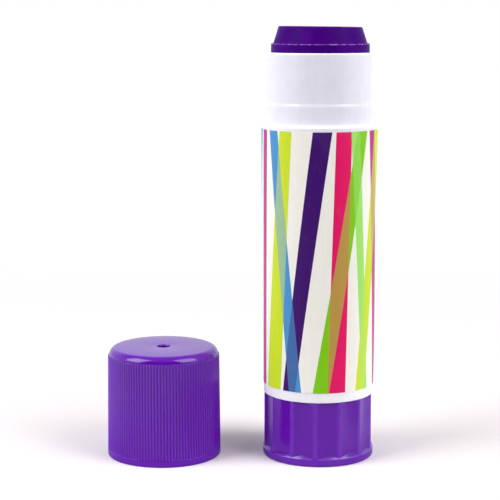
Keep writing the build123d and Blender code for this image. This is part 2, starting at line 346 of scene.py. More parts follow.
def with_rows(outline, height_low, height_high, rows):
    """The outline with more rows on each steep edge that crosses a band of heights.

    The new rows are spaced evenly between the two heights and lie on the straight edge.
    """
    parts = []
    for start, end in zip(outline[:-1], outline[1:]):
        parts.append(start[None])
        low, high = sorted((start[1], end[1]))
        if low < height_low and high > height_high:
            heights = np.linspace(height_low, height_high, rows)
            if start[1] > end[1]:
                heights = heights[::-1]
            along = (heights - start[1]) / (end[1] - start[1])
            parts.append(start + along[:, None] * (end - start))
    parts.append(outline[-1:])
    return np.concatenate(parts)


def turned_points(radius, height, turns, centre=(0, 0)):
    """Points of a turned surface: each radius and height, carried round a vertical axis."""
    shape = np.broadcast_shapes(radius.shape, height.shape, turns.shape)
    across = centre[0] + radius * np.cos(turns)
    deep = centre[1] + radius * np.sin(turns)
    return np.stack([np.broadcast_to(values, shape) for values in (across, deep, height)], axis=-1)


def even_turns(columns):
    """Angles evenly spaced round a full turn."""
    return np.arange(columns) * full_turn / columns


def ring_waves(turns, least, most, seed):
    """Seeded waviness round a ring, from about -1 to 1.

    It is a sum of cosines, each with a whole number of waves in the turn, so it closes on itself.
    """
    random = np.random.default_rng(seed)
    waves = np.arange(least, most + 1)
    phases = random.uniform(0, full_turn, len(waves))
    weights = random.uniform(0.4, 1, len(waves))
    total = (weights * np.cos(np.asarray(turns)[..., None] * waves + phases)).sum(axis=-1)
    return total / np.sqrt((weights**2).sum() * 2)


def turns_by_bars(columns, bar_count, offsets):
    """Even angles round a full turn, and angles at the same offsets from each of some even radial bars."""
    near = np.arange(bar_count)[:, None] * full_turn / bar_count + offsets
    return np.unique(np.concatenate([even_turns(columns), (near % full_turn).ravel()]))


def bar_front(turns, bar_count, distance):
    """Radius of the flat inner faces of radial bars: the distance divided by the cosine off each bar."""
    spacing = full_turn / bar_count
    off = (turns + spacing / 2) % spacing - spacing / 2
    return off, distance / np.cos(off)


def placed_object(name, data):
    """A new object with the given data, in the scene."""
    made = bpy.data.objects.new(name, data)
    bpy.context.scene.collection.objects.link(made)
    return made


def surface_object(name, points, values, wrap=None, ring=False, turned=True):
    """Mesh object of a grid of points, rows by columns.

    Each point joins the next row and the next column. The last column joins the first if the surface is
    turned, and the last row joins the first if it is a ring. A row whose points all meet becomes one
    vertex, which closes a pole. Values are kept as attributes of the points, and wrap as a UV map.
    """
    rows, columns = points.shape[:2]
    numbers = np.arange(rows * columns).reshape(rows, columns)
    poles = np.ptp(points, axis=1).max(axis=-1) < touching
    numbers[poles] = numbers[poles][:, :1]
    used, numbers = np.unique(numbers, return_inverse=True)
    numbers = numbers.reshape(rows, columns)
    upper = numbers if ring else numbers[:-1]
    lower = np.roll(numbers, -1, axis=0) if ring else numbers[1:]
    last = columns if turned else columns - 1
    quads = np.stack([upper, lower, np.roll(lower, -1, axis=1), np.roll(upper, -1, axis=1)], axis=-1)
    quads = quads[:, :last].reshape(-1, 4)
    top_pole = quads[:, 0] == quads[:, 3]
    bottom_pole = quads[:, 1] == quads[:, 2]
    faces = quads[~top_pole & ~bottom_pole].tolist()
    faces += quads[top_pole][:, :3].tolist()
    faces += quads[bottom_pole][:, [0, 1, 3]].tolist()
    if ring and not turned:
        faces += [numbers[::-1, 0].tolist(), numbers[:, -1].tolist()]
    mesh = bpy.data.meshes.new(name)
    mesh.from_pydata(points.reshape(-1, 3)[used].tolist(), [], faces)
    for title, grid in values.items():
        attribute = mesh.attributes.new(title, "FLOAT", "POINT")
        kept = np.broadcast_to(grid, (rows, columns)).reshape(-1)[used]
        attribute.data.foreach_set("value", kept.astype(np.float32))
    if wrap is not None:
        corners = np.zeros(len(mesh.loops), np.int32)
        mesh.loops.foreach_get("vertex_index", corners)
        layer = mesh.uv_layers.new(name="wrap")
        layer.data.foreach_set("uv", wrap.reshape(-1, 2)[used][corners].astype(np.float32).ravel())
    mesh.shade_smooth()
    mesh.set_sharp_from_angle(angle=sharp_angle)
    mesh.validate()
    return placed_object(name, mesh)


def cap_piece(sizes):
    """Ribbed cap.

    The outline runs from the gate mark over the rounded top, out to the ribs' upper ends, down the wall
    and up the bore. On the wall, the radius is the smaller of the outline's and of a ribbed wall's: the
    drafted wall less the rib depth times (1 + cos(ribs x angle)) / 2.
    """
    columns_per_rib = 8
    # How much of the crests' painted highlight colour the top takes, as painted light on the top
    top_painted_light = 0.35
    centre, mouth_radius, foot, top = round_box("cap")
    top_radius = mouth_radius - sizes.draft - sizes.top_inset
    rib_top = top - sizes.rib_drop
    bore = mounts["cap_bore"]["dims"]["r_mm"] * millimetre
    seat = bore - sizes.seat_width
    inside = top - sizes.top_thickness
    soft, nub = sizes.gate_rounding, sizes.gate_nub
    nub_end, nub_rounding = nub * 0.7, nub * 0.2
    gate_floor = top - sizes.gate_depth
    outline = rounded_outline([
        (0, gate_floor + nub, 0),
        (nub_end, gate_floor + nub, nub_rounding),
        (nub, gate_floor, 0),
        (sizes.gate_radius, gate_floor, soft),
        (sizes.gate_radius, top, soft),
        (top_radius, top, sizes.top_rounding),
        (top_radius, rib_top, 0),
        (mouth_radius - sizes.draft * rib_top / top, rib_top, sizes.rib_rounding),
        (mouth_radius, foot, sizes.mouth_rounding),
        (bore, foot, sizes.mouth_rounding),
        (bore, sizes.seat_depth, 0),
        (seat, sizes.seat_depth, 0),
        (seat, inside, sizes.inner_rounding),
        (0, inside, 0),
    ], steps=9)
    band_low, band_high = sizes.rim_band - sizes.rib_end, sizes.rim_band + sizes.rib_end
    outline = with_rows(outline, band_low, band_high, rows=6)
    radius, height = outline[:, :1], outline[:, 1:]
    turns = even_turns(columns_per_rib * sizes.rib_count)
    groove = (1 + np.cos(sizes.rib_count * turns)) / 2
    wall = mouth_radius - sizes.draft * height / top
    begun = smooth_step(height, band_low, band_high)
    ribbed = wall - sizes.rib_depth * groove * begun
    fading = 1.5 * sizes.rib_depth
    near_wall = begun * smooth_step(radius, wall - fading, wall - sizes.rib_depth)
    points = turned_points(np.minimum(radius, ribbed), height, turns, centre)
    on_top = smooth_step(height, top - sizes.top_rounding / 3, top) * (radius > sizes.gate_radius)
    # Painted shade in the grooves, painted highlights on the ribs' crests, and painted light on the top
    ribs = {"painted_hollow_shade": groove * near_wall, "highlight_and_wear": (1 - groove) * near_wall + top_painted_light * on_top}
    return surface_object("ribbed_cap", points, ribs)


def column_radius(turns, sizes, ridge_radius):
    """Radius of the knob's fluted grip at each angle, and how near each angle is to a ridge.

    Each flute is an arc of a large circle outside the grip: the circle's distance times the cosine off
    the flute, less the root of its radius squared less its distance times the sine off the flute, squared.
    Between two flutes the grip keeps the ridge radius.
    """
    half_flute = math.pi / sizes.flute_count - sizes.ridge_width / 2 / ridge_radius
    half_chord = ridge_radius * math.sin(half_flute)
    chord = ridge_radius * math.cos(half_flute)
    arc = (half_chord**2 + sizes.flute_hollow**2) / (2 * sizes.flute_hollow)
    distance = chord - sizes.flute_hollow + arc
    ridge_begins = 0.8 * half_flute
    spacing = full_turn / sizes.flute_count
    off = (turns - sizes.flute_turn) % spacing - spacing / 2
    flute = distance * np.cos(off) - np.sqrt(arc**2 - (distance * np.sin(off)) ** 2)
    ridge = smooth_step(np.abs(off), ridge_begins, half_flute)
    return soft_least(flute, ridge_radius, sizes.ridge_softness), ridge


def curve_between(start, corner, end, steps):
    """Rows of a quadratic curve from start to end that leaves and arrives along the lines to the corner."""
    way = np.linspace(0, 1, steps)[:, None]
    return [
        (1 - way) ** 2 * first + 2 * way * (1 - way) * middle + way**2 * last
        for first, middle, last in zip(start, corner, end)
    ]


def knob_piece(sizes, barrel):
    """Fluted knob.

    Its rows run from the spindle's socket over the hub, the inside and the top edge, down the flutes and
    over the foot to the recess below. The foot's top is a 45 degree cone, so it meets the grip at the
    foot's height plus the foot's radius less the grip's radius, and the rows follow that crease.
    """
    # How much painted shade darkens the flutes and the slope, how much painted highlight lightens the ridges
    # and the foot's edge, and how much paler the foot is
    flute_shade, slope_shade = 0.18, 0.5
    ridge_highlight, edge_highlight, foot_tint = 0.22, 0.8, 0.1
    # More columns beside each ridge, as shares of the way from one ridge to the next
    by_ridge = [0.008, 0.016, 0.024, 0.05, 0.95, 0.976, 0.984, 0.992]
    even_steps, quarter_rows = 30, 9
    centre, foot_radius, foot, top = round_box("turning_knob")
    ridge_radius = foot_radius - sizes.foot_step
    recess_top = foot + sizes.recess_depth
    floor_top = recess_top + sizes.floor
    bore = barrel.spigot_radius + sizes.spigot_clearance
    hub = barrel.hole_radius + sizes.hub_wall
    hub_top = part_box("turning_knob")[1].z
    steps = np.sort(np.concatenate([np.linspace(0, 1, even_steps, endpoint=False), by_ridge]))
    spacing = full_turn / sizes.flute_count
    turns = (np.arange(sizes.flute_count)[:, None] + steps).ravel() * spacing + sizes.flute_turn
    grip, ridge = column_radius(turns, sizes, ridge_radius)
    hexagon = sizes.socket_across / 2 / np.cos(turns % (full_turn / 6) - full_turn / 12)
    crease = foot + sizes.foot_height + foot_radius - grip
    soft = sizes.crease_rounding * (foot_radius - grip)
    edge, round_top, round_foot = sizes.edge_rounding, sizes.top_rounding, sizes.foot_rounding
    slope = math.sqrt(0.5)
    quarter = np.linspace(0, math.pi / 2, quarter_rows)[:, None]
    edge_height = foot + sizes.foot_height
    recess = foot_radius - sizes.recess_border
    parts = [
        (0, floor_top),
        (hexagon, floor_top),
        (hexagon, hub_top),
        (hub, hub_top),
        (hub, floor_top),
        (bore, floor_top),
        (bore, top),
        (grip - round_top * (1 - np.sin(quarter)), top - round_top * (1 - np.cos(quarter))),
        curve_between(
            (grip, crease + soft), (grip, crease), (grip + soft * slope, crease - soft * slope), steps=7
        ),
        curve_between(
            (foot_radius - edge * slope, edge_height + edge * slope),
            (foot_radius, edge_height),
            (foot_radius, edge_height - edge),
            steps=5,
        ),
        (foot_radius - round_foot * (1 - np.cos(quarter)), foot + round_foot * (1 - np.sin(quarter))),
        (recess, foot),
        (recess, recess_top),
        (0, recess_top),
    ]
    rows = [np.stack(np.broadcast_arrays(*part, turns[None])[:2]) for part in parts]
    radius, height = np.concatenate(rows, axis=1)
    points = turned_points(radius, height, turns, centre)
    flute_depth = sizes.flute_hollow
    outside = smooth_step(radius, ridge_radius - 4 * flute_depth, ridge_radius - 2 * flute_depth)
    below_crease = smooth_step(crease + soft - height, 0, soft)
    below_edge = smooth_step(edge_height + 2 * edge - height, 0, edge)
    sloping = outside * below_crease * (1 - below_edge)
    at_edge = outside * (1 - ridge) * smooth_step(edge - np.abs(height - edge_height), 0, edge / 2)
    # Painted shade in the flutes and on the foot's sloping top, painted highlights on the ridges and on the
    # foot's edge
    painted_hollow_shade = outside * (1 - ridge) * flute_shade + slope_shade * sloping
    on_foot = outside * (height < edge_height - edge / 2)
    highlight_and_wear = outside * ridge * ridge_highlight * (1 - below_crease) + edge_highlight * at_edge + foot_tint * on_foot
    return surface_object("fluted_knob", points, {"painted_hollow_shade": painted_hollow_shade, "highlight_and_wear": highlight_and_wear})


def barrel_piece(sizes):
    """White barrel.

    A closed outline carried round the axis: the floor's top, the bore, the rim, the neck, the shoulder,
    the tapered tube and the spigot. In the bore, the radius is the smaller of the bore's and of the guide
    ribs' flat faces.
    """
    # How much painted highlight lightens the neck's step and the band above the knob
    step_highlight, band_highlight = 0.15, 0.5
    centre, top_radius, spigot_bottom, top = round_box("barrel")
    neck = mounts["neck"]["dims"]["r_mm"] * millimetre
    foot_top = sizes.shoulder + sizes.neck_foot_length
    floor_top = sizes.bottom + sizes.floor
    inner_spigot = sizes.spigot_radius - sizes.spigot_wall
    below_rim = top - 3 * sizes.rim_rounding
    rib_top = top - sizes.rib_stop
    rib_end = sizes.rib_depth / 10
    outline = rounded_outline([
        (sizes.hole_radius, floor_top, 0),
        (sizes.bore_radius, floor_top, 0),
        (sizes.bore_radius, rib_top - rib_end, 0),
        (sizes.bore_radius, rib_top, 0),
        (sizes.bore_radius, below_rim, 0),
        (sizes.bore_radius, top, sizes.rim_rounding),
        (neck, top, sizes.rim_rounding),
        (neck, foot_top + sizes.neck_taper, sizes.neck_softness),
        (sizes.neck_foot_radius, foot_top, sizes.neck_softness),
        (sizes.neck_foot_radius, sizes.shoulder, 0),
        (top_radius, sizes.shoulder, sizes.shoulder_rounding),
        (sizes.bottom_radius, sizes.bottom, sizes.bottom_rounding),
        (sizes.spigot_radius, sizes.bottom, 0),
        (sizes.spigot_radius, spigot_bottom, sizes.bottom_rounding),
        (inner_spigot, spigot_bottom, 0),
        (inner_spigot, sizes.bottom, 0),
        (sizes.hole_radius, sizes.bottom, 0),
    ])
    shoulder_foot = sizes.shoulder + sizes.shoulder_rounding
    outline = with_rows(outline, foot_top + 2 * sizes.neck_taper, below_rim, rows=6)
    outline = with_rows(outline, shoulder_foot, foot_top - sizes.neck_taper, rows=4)
    outline = with_rows(outline, floor_top, sizes.shoulder - 3 * sizes.shoulder_rounding, rows=6)
    radius, height = outline[:, :1], outline[:, 1:]
    half_rib = sizes.rib_width / 2 / sizes.bore_radius
    # A rib's side stands between the columns at 0.95 and at 1 times half its width
    rib_side = 0.97 * half_rib
    offsets = half_rib * np.array([-1.1, -1, -0.95, 0.95, 1, 1.1])
    turns = turns_by_bars(256, sizes.rib_count, offsets)
    off, rib_face = bar_front(turns, sizes.rib_count, sizes.bore_radius - sizes.rib_depth)
    on_rib = (np.abs(off) < rib_side) & (height < rib_top - rib_end / 2) & (height > floor_top)
    in_bore = np.abs(radius - sizes.bore_radius) < touching
    radius = np.where(in_bore & on_rib, np.minimum(radius, rib_face), radius)
    points = turned_points(radius, height, turns, centre)
    rim = smooth_step(height, top - 2 * sizes.rim_rounding, top)
    off_step = np.abs(height - foot_top - sizes.neck_taper / 2)
    on_step = smooth_step(sizes.neck_taper - off_step, 0, sizes.neck_taper / 2)
    flat = smooth_step(height, sizes.shoulder - 2 * sizes.shoulder_rounding, sizes.shoulder)
    flat = flat * (1 - smooth_step(height, sizes.shoulder, shoulder_foot))
    outside = radius > sizes.spigot_radius + sizes.rim_rounding
    band = band_highlight * (height < sizes.bottom + 1.5 * sizes.floor) * outside
    # Painted highlights on the rim, the neck's step, the shoulder and the band above the knob
    highlight_and_wear = np.clip(rim + on_step * step_highlight + flat + band, 0, 1)
    return surface_object("white_barrel", points, {"painted_hollow_shade": 0, "highlight_and_wear": highlight_and_wear}, ring=True)


def label_piece(sizes, barrel):
    """Printed wrap, and its girth.

    Its rows go round the wall's section: up the outside and down the inside. Its columns go round the
    barrel from one side of the joint at the back to the other. The UV map runs from 0 to 1 across the
    girth, seen from outside, and from 0 to 1 up the height.
    """
    columns, outer_rows = 257, 9
    # Share of the height, at each end, where the print is rubbed
    border_share = 0.01
    centre, outer_top, bottom, top = round_box("label")
    taper = (outer_top - sizes.thickness - barrel.bottom_radius) / (top - barrel.bottom)
    outer_bottom = outer_top - taper * (top - bottom)
    half_gap = sizes.joint_gap / 2 / outer_top
    turns = math.pi / 2 + np.linspace(half_gap, full_turn - half_gap, columns)
    # A hair's gap under the wrap, of 4% of its thickness, keeps it clear of the barrel
    skin = sizes.thickness * 0.96
    edge = sizes.thickness / 4
    rise = np.linspace(1, 0, outer_rows)[1:-1]
    radius = np.concatenate([
        [outer_top - skin, outer_top - edge, outer_top],
        outer_bottom + (outer_top - outer_bottom) * rise,
        [outer_bottom, outer_bottom - edge, outer_bottom - skin],
    ])
    height = np.concatenate([
        [top, top, top - edge], bottom + (top - bottom) * rise, [bottom + edge, bottom, bottom],
    ])
    points = turned_points(radius[:, None], height[:, None], turns, centre)
    across = np.broadcast_to(np.linspace(0, 1, columns), points.shape[:2])
    up = np.broadcast_to(((height - bottom) / (top - bottom))[:, None], points.shape[:2])
    border = 1 - smooth_step(np.minimum(up, 1 - up), 0, border_share)
    piece = surface_object(
        "label_wrap", points, {"painted_hollow_shade": 0, "highlight_and_wear": border}, np.stack([across, up], axis=-1),
        ring=True, turned=False,
    )
    return piece, full_turn * (outer_top + outer_bottom) / 2


def glue_piece(sizes, barrel):
    """Cast glue.

    The outline runs from the tip over its cone and ledge, down the bore's wall, into the carrier's cup
    and round its nut, and up the blind hole. Seeded waves, from the function of that name, sink the
    surface by up to the unevenness, and the ledge's edge also has chips where the waves are highest. The
    tip leans: its height drops in proportion to the distance to the right.
    """
    # Angles in radians that the slow and the quick waves turn by over the height, and their weights
    slow_twist, quick_twist = 2, 9
    slow_weight, quick_weight = 0.3, 0.2
    # Wave heights at which a chip begins and is full
    chip_begins, chip_full = 0.75, 1.6
    # How far down a chip goes, as a share of how far in it goes
    chip_slope = 0.7
    centre, outer, _, top = round_box("glue")
    _, carrier_radius, carrier_bottom, carrier_top = round_box("carrier")
    ledge = top - sizes.tip_height
    tip_bottom = outer - sizes.ledge
    cup = carrier_radius - sizes.cup_wall
    cup_floor = carrier_bottom + sizes.cup_floor
    hole_top = top - sizes.hole_end
    groove_top = top - sizes.groove_stop
    groove_end = sizes.groove_depth / 8
    outline = rounded_outline([
        (0, top, 0),
        (tip_bottom - sizes.slope, top, sizes.tip_rounding),
        (tip_bottom, ledge, sizes.ledge_rounding),
        (outer, ledge, sizes.ledge_rounding),
        (outer, groove_top + groove_end, 0),
        (outer, groove_top, 0),
        (outer, carrier_top, 0),
        (cup, carrier_top, 0),
        (cup, cup_floor, 0),
        (sizes.nut_radius, cup_floor, 0),
        (sizes.nut_radius, carrier_top, 0),
        (sizes.hole_radius, carrier_top, 0),
        (sizes.hole_radius, hole_top, 0),
        (0, hole_top, 0),
    ], steps=8)
    tip_margin = sizes.tip_height * 0.15
    outline = with_rows(outline, ledge + tip_margin, top - tip_margin, rows=12)
    outline = with_rows(outline, ledge - sizes.tip_height, ledge - sizes.ledge_rounding * 1.5, rows=10)
    radius, height = outline[:, :1], outline[:, 1:]
    half_groove = sizes.groove_width / 2 / outer
    # A groove's side stands just inside the columns at 1.02 times half its width
    groove_side = half_groove * 1.01
    turns = turns_by_bars(480, barrel.rib_count, half_groove * np.array([-1.02, 1.02]))
    off, groove_face = bar_front(turns, barrel.rib_count, barrel.bore_radius - sizes.groove_depth)
    in_groove = np.abs(off) < groove_side
    in_groove = in_groove & (height < groove_top + groove_end / 2) & (height > carrier_top - groove_end)
    on_wall = np.abs(radius - outer) < touching
    slow = ring_waves(turns + slow_twist * height / top, least=2, most=9, seed=11)
    quick = ring_waves(turns + quick_twist * height / top, least=20, most=70, seed=12)
    waves = np.clip(0.5 + slow_weight * slow + quick_weight * quick, 0, 1)
    showing = (height > groove_top) & (radius > tip_bottom - 2 * sizes.slope)
    edge_reach = 2.2 * sizes.ledge_rounding
    at_edge = 1 - smooth_step(np.abs(height - ledge + sizes.ledge_rounding / 2), 0, edge_reach)
    at_edge = at_edge * smooth_step(radius, tip_bottom, outer - sizes.ledge_rounding / 2)
    chips = smooth_step(ring_waves(turns, least=12, most=60, seed=7), chip_begins, chip_full)
    chipped = sizes.chip_depth * chips * at_edge
    sunk = sizes.unevenness * waves * showing + chipped
    radius = np.where(on_wall & in_groove, groove_face, radius - sunk)
    height = height - chipped * chip_slope
    risen = np.clip((height - ledge) / sizes.tip_height, 0, 1)
    height = height - sizes.lean * risen * (1 + radius / outer * np.cos(turns)) / 2
    points = turned_points(radius, height, turns, centre)
    # The ledge's edge is marked for pale crumbs, which also stand in for painted highlights there
    return surface_object("glue_mass", points, {"painted_hollow_shade": 0, "highlight_and_wear": smooth_step(at_edge, 0.6, 1)})


# Finishes


def feed(tree, socket, value):
    """Links an input to another node's socket, or gives it a value. A colour gets an opacity of 1."""
    if isinstance(value, bpy.types.NodeSocket):
        tree.links.new(value, socket)
    elif socket.type == "RGBA":
        socket.default_value = (*value[:3], 1)
    else:
        socket.default_value = value


def node(tree, kind, inputs=None, **options):
    """A shader node with its options and inputs. An input is a value or another node's socket."""
    made = tree.nodes.new(kind)
    for name, value in options.items():
        setattr(made, name, value)
    for name, value in (inputs or {}).items():
        feed(tree, made.inputs[name], value)
    return made


def maths(tree, operation, *values, clamp=False):
    """The result of a Math node."""
    inputs = dict(enumerate(values))
    return node(tree, "ShaderNodeMath", inputs, operation=operation, use_clamp=clamp).outputs[0]


def mixed_colour(tree, factor, first, second, blend="MIX"):
    """The result of a Mix node for colours."""
    inputs = {0: factor, 6: first, 7: second}
    return node(tree, "ShaderNodeMix", inputs, data_type="RGBA", blend_type=blend).outputs[2]


def blended(tree, factor, first, second):
    """A number between two others: the first at factor 0 and the second at factor 1."""
    return node(tree, "ShaderNodeMix", {0: factor, 2: first, 3: second}).outputs[0]


def mapped(tree, value, low, high, new_low=0.0, new_high=1.0):
    """A value carried from one range to another along a smooth step, and held inside it."""
    inputs = {"Value": value, "From Min": low, "From Max": high, "To Min": new_low, "To Max": new_high}
    return node(tree, "ShaderNodeMapRange", inputs, interpolation_type="SMOOTHSTEP").outputs["Result"]


def noise(tree, where, scale, detail):
    """The value of a noise texture, spread about 0.5."""
    inputs = {"Vector": where, "Scale": scale, "Detail": detail}
    return node(tree, "ShaderNodeTexNoise", inputs).outputs["Fac"]


def point_value(tree, name):
    """A value that the mesh keeps at its points, such as where shade or highlights are painted."""
    return node(tree, "ShaderNodeAttribute", attribute_name=name).outputs["Fac"]


def group_tree(name, inputs, outputs):
    """A new shader node group, with its input and output sockets.

    A socket is given by its name and its kind, Vector, Color or Float. A number as an input's kind stands
    for Float, and is the value it starts with.
    """
    tree = bpy.data.node_groups.new(name, "ShaderNodeTree")
    for title, kind in inputs.items():
        written = kind if isinstance(kind, str) else "Float"
        socket = tree.interface.new_socket(name=title, in_out="INPUT", socket_type="NodeSocket" + written)
        if written is not kind:
            socket.default_value = kind
    for title, kind in outputs.items():
        tree.interface.new_socket(name=title, in_out="OUTPUT", socket_type="NodeSocket" + kind)
    return tree, tree.nodes.new("NodeGroupInput").outputs, tree.nodes.new("NodeGroupOutput").inputs


def moulded_grain():
    """Group: the skin of a moulded or cast piece.

    Height is fine grain plus slow waviness plus flow lines that run up the piece. Tone is a slow value
    about 0.5 for colour and gloss.
    """
    tree, given, out = group_tree(
        "moulded_grain",
        {"Vector": "Vector", "Grain Scale": 4000.0, "Wave Scale": 350.0, "Flow": 0.3},
        {"Height": "Float", "Tone": "Float"},
    )
    grain = noise(tree, given["Vector"], given["Grain Scale"], 2.0)
    wave = noise(tree, given["Vector"], given["Wave Scale"], 3.0)
    drawn = node(tree, "ShaderNodeMapping", {"Vector": given["Vector"], "Scale": (1, 1, 0.06)})
    flow = noise(tree, drawn.outputs[0], 1500.0, 2.0)
    height = maths(tree, "MULTIPLY", grain, 0.35)
    height = maths(tree, "MULTIPLY_ADD", wave, 0.65, height)
    feed(tree, out["Height"], maths(tree, "MULTIPLY_ADD", flow, given["Flow"], height))
    feed(tree, out["Tone"], maths(tree, "MULTIPLY", maths(tree, "ADD", wave, flow), 0.5))
    return tree


def handling_marks():
    """Group: fine scratches and rubbed edges. Marks is 1 where the surface is rubbed."""
    tree, given, out = group_tree(
        "handling_marks",
        {"Vector": "Vector", "Crest": 0.0, "Scratches": 0.3, "Edge Wear": 0.5},
        {"Marks": "Float"},
    )
    total = 0.0
    for tilt, scale in ((0.5, 900.0), (-0.9, 700.0), (2.2, 1100.0)):
        drawn = {"Vector": given["Vector"], "Rotation": (tilt, tilt, 0), "Scale": (1, 0.05, 0.4)}
        lines = noise(tree, node(tree, "ShaderNodeMapping", drawn).outputs[0], scale, 1.0)
        total = maths(tree, "MAXIMUM", total, mapped(tree, lines, 0.68, 0.74))
    worn = mapped(tree, noise(tree, given["Vector"], 220.0, 4.0), 0.45, 0.65)
    worn = maths(tree, "MULTIPLY", worn, given["Crest"])
    worn = maths(tree, "MULTIPLY", worn, given["Edge Wear"])
    scratched = maths(tree, "MULTIPLY", total, given["Scratches"])
    feed(tree, out["Marks"], maths(tree, "MAXIMUM", worn, scratched, clamp=True))
    return tree


def settled_dust():
    """Group: sparse fine specks. Specks is 1 on a speck."""
    tree, given, out = group_tree("settled_dust", {"Vector": "Vector", "Amount": 0.5}, {"Specks": "Float"})
    inputs = {"Vector": given["Vector"], "Scale": 700.0, "Randomness": 1.0}
    cells = node(tree, "ShaderNodeTexVoronoi", inputs).outputs
    near = mapped(tree, cells["Distance"], 0.03, 0.09, 1.0, 0.0)
    parted = node(tree, "ShaderNodeSeparateColor", {"Color": cells["Color"]})
    chosen = maths(tree, "GREATER_THAN", parted.outputs[0], 0.9)
    specks = maths(tree, "MULTIPLY", near, chosen)
    feed(tree, out["Specks"], maths(tree, "MULTIPLY", specks, given["Amount"]))
    return tree


def slanted_stripe():
    """Group: one straight printed stripe.

    Its middle goes from Foot to Top across the girth as Up goes from 0 to 1, and its width from Foot
    Width to Top Width. It covers bare ground fully, and other ink shows through it by the overprint.
    """
    tree, given, out = group_tree(
        "slanted_stripe",
        {
            "Across": 0.0, "Up": 0.0, "Foot": 0.0, "Top": 0.0, "Foot Width": 0.05, "Top Width": 0.05,
            "Softness": 0.001, "Overprint": 0.5, "Ink": "Color", "Ground": "Color", "Covered": 0.0,
        },
        {"Colour": "Color", "Covered": "Float"},
    )
    lean = maths(tree, "SUBTRACT", given["Top"], given["Foot"])
    middle = maths(tree, "MULTIPLY_ADD", lean, given["Up"], given["Foot"])
    widening = maths(tree, "SUBTRACT", given["Top Width"], given["Foot Width"])
    width = maths(tree, "MULTIPLY_ADD", widening, given["Up"], given["Foot Width"])
    off = maths(tree, "ABSOLUTE", maths(tree, "SUBTRACT", given["Across"], middle))
    inside = maths(tree, "SUBTRACT", maths(tree, "MULTIPLY", width, 0.5), off)
    mask = maths(tree, "ADD", maths(tree, "DIVIDE", inside, given["Softness"]), 0.5, clamp=True)
    see_through = maths(tree, "MULTIPLY", given["Covered"], given["Overprint"])
    strength = maths(tree, "MULTIPLY", mask, maths(tree, "SUBTRACT", 1.0, see_through))
    feed(tree, out["Colour"], mixed_colour(tree, strength, given["Ground"], given["Ink"]))
    feed(tree, out["Covered"], maths(tree, "MAXIMUM", given["Covered"], mask))
    return tree


def grouped(tree, maker, inputs):
    """Outputs of a placed node group, whose tree is built once and shared."""
    shared = bpy.data.node_groups.get(maker.__name__) or maker()
    return node(tree, "ShaderNodeGroup", inputs, node_tree=shared).outputs


def empty_tree(owner):
    """The node tree of a material or a world, with nothing in it."""
    owner.use_nodes = True
    owner.node_tree.nodes.clear()
    return owner.node_tree


def new_material(name):
    """An empty material, its tree, its Principled shader and its object coordinates."""
    material = bpy.data.materials.new(name)
    tree = empty_tree(material)
    shader = tree.nodes.new("ShaderNodeBsdfPrincipled")
    node(tree, "ShaderNodeOutputMaterial", {0: shader.outputs[0]})
    where = tree.nodes.new("ShaderNodeTexCoord").outputs["Object"]
    return material, tree, shader, where


def set_inputs(shader, **values):
    """Gives a shader's inputs values by name, with an underscore for each space."""
    for name, value in values.items():
        shader.inputs[name.replace("_", " ")].default_value = value


def toned(base, factor, added=0.0):
    """A colour times a factor, plus an amount."""
    return [part * factor + added for part in base]


def finish_surface(tree, shader, where, base, rubbed, roughness, grain, flow, bump, wear, gloss_spread=0.02):
    """Colour, roughness and bump that the moulded pieces share.

    The grain's tone shifts the colour and the gloss a little, marks turn the surface to its rubbed colour
    and make it rougher, and dust lies on it as pale specks.
    """
    dust_amount, dust_colour = 0.06, (0.8, 0.79, 0.8)
    mark_roughness, hollow_roughness, dust_roughness = 0.2, 0.1, 0.3
    mark_depth, relief_depth = 0.2, 0.00002
    skin = grouped(tree, moulded_grain, {"Vector": where, "Grain Scale": grain, "Flow": flow})
    # Point values of where shade is painted into hollows, which also turn rougher, and where highlights are
    # painted on crests, which are also where edges wear
    highlight_and_wear, painted_hollow_shade = point_value(tree, "highlight_and_wear"), point_value(tree, "painted_hollow_shade")
    rubbing = {"Vector": where, "Crest": highlight_and_wear, "Scratches": wear * 0.5, "Edge Wear": wear}
    marks = grouped(tree, handling_marks, rubbing)["Marks"]
    specks = grouped(tree, settled_dust, {"Vector": where, "Amount": dust_amount})["Specks"]
    tone = mapped(tree, skin["Tone"], 0.35, 0.65, 0.96, 1.0)
    shade = mixed_colour(tree, 1.0, base, tone, "MULTIPLY")
    worn = mixed_colour(tree, marks, shade, rubbed)
    feed(tree, shader.inputs["Base Color"], mixed_colour(tree, specks, worn, dust_colour))
    rough = mapped(tree, skin["Tone"], 0.3, 0.7, roughness - gloss_spread, roughness + gloss_spread)
    rough = maths(tree, "MULTIPLY_ADD", marks, mark_roughness, rough)
    rough = maths(tree, "MULTIPLY_ADD", painted_hollow_shade, hollow_roughness, rough)
    rough = maths(tree, "MULTIPLY_ADD", specks, dust_roughness, rough, clamp=True)
    feed(tree, shader.inputs["Roughness"], rough)
    height = maths(tree, "MULTIPLY_ADD", marks, -mark_depth, skin["Height"])
    relief = node(tree, "ShaderNodeBump", {"Height": height, "Strength": bump, "Distance": relief_depth})
    feed(tree, shader.inputs["Normal"], relief.outputs[0])


def violet_plastic(name, base, highlight_colour, roughness):
    """Satin violet plastic with painted shade in its hollows, painted highlights on its crests, and light
    spread below its skin.
    """
    material, tree, shader, where = new_material(name)
    # Painted shade: the colour darkens to half in the hollows, where shade falls
    deep = mixed_colour(tree, point_value(tree, "painted_hollow_shade"), base, toned(base, 0.5))
    # Painted highlight: the crests take the paler highlight colour
    lit = mixed_colour(tree, point_value(tree, "highlight_and_wear"), deep, highlight_colour)
    finish_surface(
        tree, shader, where, lit, toned(base, 1.2, 0.02), roughness,
        grain=5000.0, flow=0.05, bump=0.12, wear=0.15,
    )
    set_inputs(
        shader, IOR=1.5, Subsurface_Weight=0.06, Subsurface_Radius=(0.3, 0.1, 1.0), Subsurface_Scale=0.0004
    )
    return material


